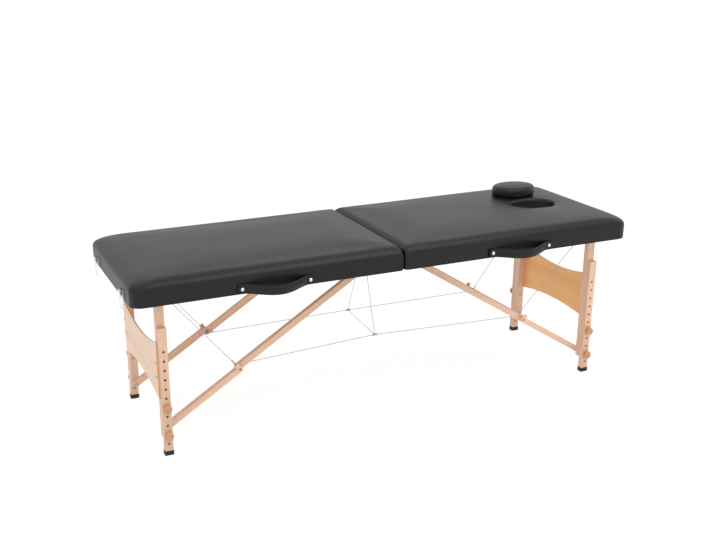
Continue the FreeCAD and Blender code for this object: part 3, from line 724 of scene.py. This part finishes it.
def make_handle(half):
    """Padded strap with stitched hems, bowed out between its two screws."""
    low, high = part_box(half + "_handle")
    centre = (low + high) / 2
    wall = high.y
    form = bmesh.new()
    rings = []
    for step in range(STRAP_STEPS + 1):
        x = -STRAP_TAB + 2 * STRAP_TAB * step / STRAP_STEPS
        place, outward, padding = strap_frame(x, centre, wall)
        tip = (STRAP_TAB - abs(x)) / 0.008
        squeeze = 1.0 if tip >= 1 else 0.62 + 0.38 * math.sqrt(max(0.0, 1 - (1 - tip) ** 2))
        ring = [form.verts.new(place + outward * deep + Vector((0, 0, height)))
                for height, deep in strap_section(padding, squeeze)]
        rings.append(ring)
    size = len(rings[0])
    for first, second in zip(rings, rings[1:]):
        for i in range(size):
            j = (i + 1) % size
            form.faces.new((first[i], first[j], second[j], second[i]))
    form.faces.new(list(reversed(rings[0])))
    form.faces.new(rings[-1])
    bmesh.ops.recalc_face_normals(form, faces=form.faces)
    strap_faces = len(form.faces)
    add_stitches(form, centre, wall)
    piece = from_bmesh(half + "_strap", form)
    piece.data.materials.append(MATERIALS["strap_vinyl"])
    piece.data.materials.append(MATERIALS["thread"])
    for face in piece.data.polygons[strap_faces:]:
        face.material_index = 1
    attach(piece, half + "_section")
    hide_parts(half + "_handle")
    return piece


def add_stitches(form, centre, wall):
    """Two rows of thread along the strap's outer face."""
    count = int(2 * (STRAP_TAB - STITCH_INSET) / STITCH_PITCH)
    for row in STITCH_ROWS:
        for number in range(count):
            x = -STRAP_TAB + STITCH_INSET + number * STITCH_PITCH
            ends = []
            for u in (x, x + STITCH_LENGTH):
                place, outward, padding = strap_frame(u, centre, wall)
                deep = (STRAP_HALF_THICKNESS - STRAP_HEM_THINNER * padding) * 0.84
                ends.append(place + outward * deep + Vector((0, 0, row * STRAP_HALF_HEIGHT)))
            add_capsule(form, ends[0], ends[1], STITCH_RADIUS)


def rods_of(node):
    """Ends and radius of every straight rod in a CAD node."""
    form = bmesh.new()
    form.from_mesh(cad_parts[node].data)
    bmesh.ops.remove_doubles(form, verts=form.verts, dist=1e-5)
    # A dict keeps the order of the mesh and the sign is set, so every run starts a rod at the same end
    left = dict.fromkeys(form.verts)
    rods = []
    while left:
        first = next(iter(left))
        del left[first]
        found, queue = [], [first]
        while queue:
            vertex = queue.pop()
            found.append(vertex.co.copy())
            for e in vertex.link_edges:
                other = e.other_vert(vertex)
                if other in left:
                    del left[other]
                    queue.append(other)
        points = np.array(found)
        middle = (points.max(0) + points.min(0)) / 2
        along = np.linalg.svd(points - points.mean(0), full_matrices=False)[2][0]
        if along[np.abs(along).argmax()] < 0:
            along = -along
        reach = (points - middle) @ along
        off = (points - middle) - np.outer(reach, along)
        radius = float(np.linalg.norm(off, axis=1).max())
        rods.append((Vector(middle + along * reach.min()), Vector(middle + along * reach.max()), radius))
    form.free()
    return sorted(rods, key=lambda rod: (round(rod[0].x, 4), round(rod[0].y, 4), round(rod[0].z, 4)))


def cross_axes(along):
    side = along.cross(Vector((0, 0, 1)))
    if side.length < 1e-6:
        side = Vector((1, 0, 0))
    side.normalize()
    return side, side.cross(along).normalized()


def add_tube(form, rings):
    """Skin over rings of points, closed at both ends."""
    made = [[form.verts.new(point) for point in ring] for ring in rings]
    count = len(made[0])
    for low, high in zip(made, made[1:]):
        for i in range(count):
            j = (i + 1) % count
            form.faces.new((low[i], low[j], high[j], high[i]))
    form.faces.new(list(reversed(made[0])))
    form.faces.new(made[-1])


def add_cable(form, start, end):
    """Wire rope of six strands laid round each other."""
    along = (end - start).normalized()
    side, up = cross_axes(along)
    length = (end - start).length
    steps = max(2, int(length / 0.0045))
    rings = []
    for step in range(steps + 1):
        lead = math.tau * length * step / steps / CABLE_PITCH
        ring = []
        for i in range(18):
            angle = math.tau * i / 18
            radius = CABLE_RADIUS * (0.93 + 0.10 * math.cos(CABLE_STRANDS * (angle - lead)))
            out = side * math.cos(angle) + up * math.sin(angle)
            ring.append(start.lerp(end, step / steps) + out * radius)
        rings.append(ring)
    add_tube(form, rings)


def add_turned(form, start, end, profile):
    """Turned sleeve: profile gives (share of the length, radius)."""
    along = (end - start).normalized()
    side, up = cross_axes(along)
    rings = []
    for share, radius in profile:
        middle = start.lerp(end, share)
        rings.append([middle + (side * math.cos(a) + up * math.sin(a)) * radius
                      for a in (math.tau * i / 20 for i in range(20))])
    add_tube(form, rings)


def add_ring(form, centre, radius, wire):
    """Loop of cable round a bolt that lies along Y."""
    rings = []
    for i in range(28):
        turn = math.tau * i / 28
        out = Vector((math.cos(turn), 0, math.sin(turn)))
        ring = []
        for a in (math.tau * k / 10 for k in range(10)):
            place = centre + out * (radius + wire * math.cos(a)) + Vector((0, wire * math.sin(a), 0))
            ring.append(form.verts.new(place))
        rings.append(ring)
    for i in range(28):
        low, high = rings[i], rings[(i + 1) % 28]
        for k in range(10):
            m = (k + 1) % 10
            form.faces.new((low[k], low[m], high[m], high[k]))


def add_run(form, start, end, bolt_start, bolt_end):
    """A cable with a loop and a pressed ferrule at each end that goes round a bolt."""
    along = (end - start).normalized()
    add_cable(form, start, end)
    for at_bolt, tip, way in ((bolt_start, start, along), (bolt_end, end, -along)):
        if at_bolt:
            add_ring(form, tip - way * (BOLT_RADIUS + 0.0003), BOLT_RADIUS + 0.0016, CABLE_RADIUS)
            add_turned(form, tip + way * FERRULE_START, tip + way * FERRULE_END, FERRULE)


def make_cables(half):
    """The cable runs of a half, fixed to its section."""
    form = bmesh.new()
    for start, end, _ in rods_of(half + "_cables"):
        add_run(form, start, end, abs(start.x) > 0.1, abs(end.x) > 0.1)
    bmesh.ops.recalc_face_normals(form, faces=form.faces)
    piece = from_bmesh(half + "_cable_runs", form)
    piece.data.materials.append(MATERIALS["cable_steel"])
    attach(piece, half + "_section")
    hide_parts(half + "_cables")
    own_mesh(piece)
    return piece


def make_middle_cables():
    """The two clamps, the cable between them and the drops from the hinge rod."""
    form = bmesh.new()
    low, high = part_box("hinge_rod")
    rod_z = (low.z + high.z) / 2
    for start, end, radius in rods_of("centre_cables"):
        if radius > 0.002:
            add_turned(form, start, end, CLAMP)
            middle = (start + end) / 2
            add_turned(form, middle + Vector((0, 0, 0.003)), middle + Vector((0, 0, 0.0062)), CLAMP_SCREW)
            continue
        add_cable(form, start, end)
        top = start if start.z > end.z else end
        if top.z > APRON_BOTTOM - 0.02:
            add_ring(form, Vector((0, top.y, rod_z)), (high.z - low.z) / 2 + CABLE_RADIUS, CABLE_RADIUS)
            way = ((end if top is start else start) - top).normalized()
            add_turned(form, top + way * FERRULE_START, top + way * FERRULE_END, FERRULE)
    bmesh.ops.recalc_face_normals(form, faces=form.faces)
    piece = from_bmesh("middle_cables", form)
    piece.data.materials.append(MATERIALS["cable_steel"])
    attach(piece, "hinge_rod")
    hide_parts("centre_cables")
    return piece


def make_camera():
    """Camera at the photograph's view."""
    turn, rise, roll = CAMERA_TURN, CAMERA_RISE, CAMERA_ROLL
    back = Vector((math.sin(turn) * math.cos(rise), -math.cos(turn) * math.cos(rise), math.sin(rise)))
    right = Vector((math.cos(turn), math.sin(turn), 0))
    up = back.cross(right)
    across = right * math.cos(roll) + up * math.sin(roll)
    upward = up * math.cos(roll) - right * math.sin(roll)
    data = bpy.data.cameras.new("photo_camera")
    data.sensor_fit = "HORIZONTAL"
    data.sensor_width = 36.0
    data.lens = CAMERA_LENS
    data.shift_x, data.shift_y = CAMERA_SHIFT
    camera = bpy.data.objects.new("photo_camera", data)
    bpy.context.scene.collection.objects.link(camera)
    place = CAMERA_TARGET + back * CAMERA_DISTANCE
    camera.matrix_world = Matrix((
        (across.x, upward.x, back.x, place.x),
        (across.y, upward.y, back.y, place.y),
        (across.z, upward.z, back.z, place.z),
        (0, 0, 0, 1),
    ))
    bpy.context.scene.camera = camera


def seen_directly(tree):
    """1 for rays from the camera, and for what shows in metal or glass."""
    rays = node_of(tree, "ShaderNodeLightPath")
    first = node_of(tree, "ShaderNodeMath", operation="MAXIMUM")
    both = node_of(tree, "ShaderNodeMath", operation="MAXIMUM")
    tree.links.new(rays.outputs["Is Camera Ray"], first.inputs[0])
    tree.links.new(rays.outputs["Is Glossy Ray"], first.inputs[1])
    tree.links.new(first.outputs["Value"], both.inputs[0])
    tree.links.new(rays.outputs["Is Transmission Ray"], both.inputs[1])
    return both.outputs["Value"]


def make_world():
    """Even white light from all round."""
    world = bpy.data.worlds.new("studio")
    world.use_nodes = True
    tree = world.node_tree
    tree.nodes.clear()
    output = node_of(tree, "ShaderNodeOutputWorld")
    white = node_of(tree, "ShaderNodeBackground")
    white.inputs["Color"].default_value = (1.0, 1.0, 1.0, 1.0)
    white.inputs["Strength"].default_value = 1.0
    tree.links.new(white.outputs["Background"], output.inputs["Surface"])
    bpy.context.scene.world = world


def make_floor():
    """A pale floor that reads as white in the picture and keeps a light shadow."""
    form = bmesh.new()
    bmesh.ops.create_grid(form, x_segments=2, y_segments=2, size=40.0)
    floor = from_bmesh("floor", form, smooth=False)
    material = bpy.data.materials.new("white_floor")
    material.use_nodes = True
    tree = material.node_tree
    tree.nodes.clear()
    output = node_of(tree, "ShaderNodeOutputMaterial")
    matte = node_of(tree, "ShaderNodeBsdfDiffuse")
    tone = noise(tree, object_points(tree), 3.0, 2.0)
    pale = ramp(tree, tone, [(0.3, (0.92, 0.92, 0.92)), (0.7, (0.94, 0.94, 0.94))])
    tree.links.new(pale, matte.inputs["Color"])
    glow = node_of(tree, "ShaderNodeEmission")
    glow.inputs["Color"].default_value = (1.0, 1.0, 1.0, 1.0)
    glow.inputs["Strength"].default_value = FLOOR_GLOW
    share = node_of(tree, "ShaderNodeMath", operation="MULTIPLY")
    share.inputs[1].default_value = FLOOR_GLOW_SHARE
    tree.links.new(seen_directly(tree), share.inputs[0])
    mix = node_of(tree, "ShaderNodeMixShader")
    tree.links.new(share.outputs["Value"], mix.inputs["Fac"])
    tree.links.new(matte.outputs["BSDF"], mix.inputs[1])
    tree.links.new(glow.outputs["Emission"], mix.inputs[2])
    tree.links.new(mix.outputs["Shader"], output.inputs["Surface"])
    floor.data.materials.append(material)


def make_light(name, place, target, size, power):
    data = bpy.data.lights.new(name, "AREA")
    data.shape = "SQUARE"
    data.size = size
    data.energy = power
    lamp = bpy.data.objects.new(name, data)
    bpy.context.scene.collection.objects.link(lamp)
    lamp.location = place
    lamp.rotation_euler = (Vector(target) - Vector(place)).to_track_quat("-Z", "Y").to_euler()


bpy.context.scene.view_settings.view_transform = "Standard"
make_camera()
make_world()
make_floor()
make_light("key", *KEY_LIGHT)
make_light("top", *TOP_LIGHT)
dress_nodes()
make_cushion("foot", -1, FOOT_ROUNDS)
head_cushion = make_cushion("head", 1, HEAD_ROUNDS, HOLE_CENTRE)
make_plug(head_cushion)
for half in ("foot", "head"):
    make_handle(half)
    make_cables(half)
make_middle_cables()
